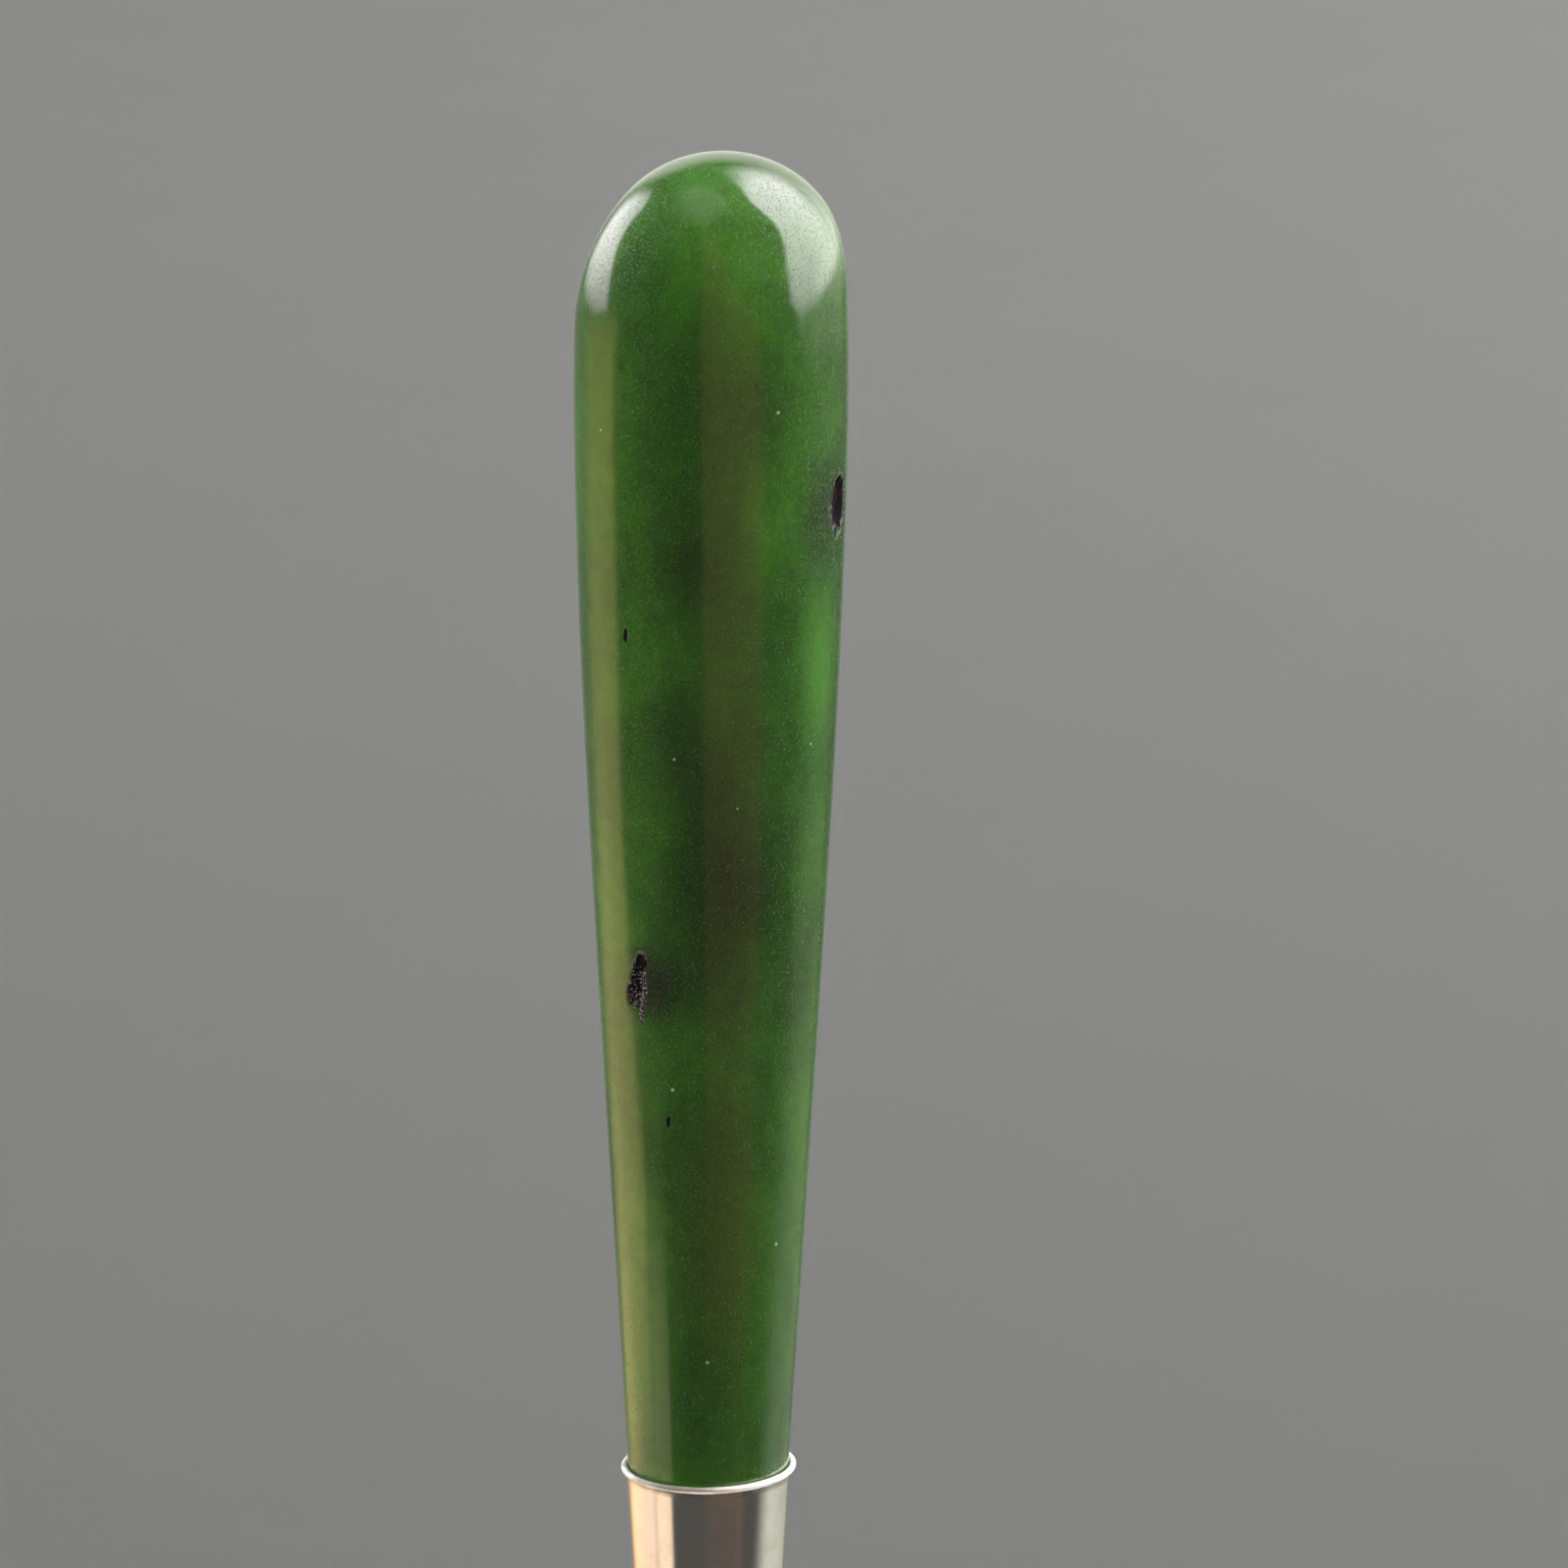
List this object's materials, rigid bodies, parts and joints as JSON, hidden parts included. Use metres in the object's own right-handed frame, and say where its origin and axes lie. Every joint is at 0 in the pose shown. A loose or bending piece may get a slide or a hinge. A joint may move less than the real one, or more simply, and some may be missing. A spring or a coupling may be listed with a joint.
{
  "type": "hair pin",
  "caption": "Straight hair pin: a polished dark green nephrite head with a rounded top, set in a tapered silver ferrule above a turned knop and a plain tapered stem.",
  "frame": {"origin": "on the pin's axis, at the middle of the length of the stem", "axes": "+Z along the pin's axis from the stem's tip to the head; +X is the side that the head's dome leans towards"},
  "size_m": [0.0118, 0.0118, 0.1772],
  "materials": {
    "nephrite": "nephrite ground and polished to a wet gloss, dark green and slightly translucent, with darker clouds, pale specks and small black inclusions",
    "silver": "sterling silver, hand polished, with fine wear scratches and a little tarnish where pieces meet",
    "cement": "dark brown shellac cement, hidden inside"
  },
  "bodies": {
    "root": {"nephrite_head": "nephrite", "setting_cement": "cement", "rim_wire": "silver", "ferrule_sleeve": "silver", "foot_wire": "silver", "ferrule_end_disc": "silver", "collar_knop": "silver", "stem": "silver"}
  },
  "joints": []
}
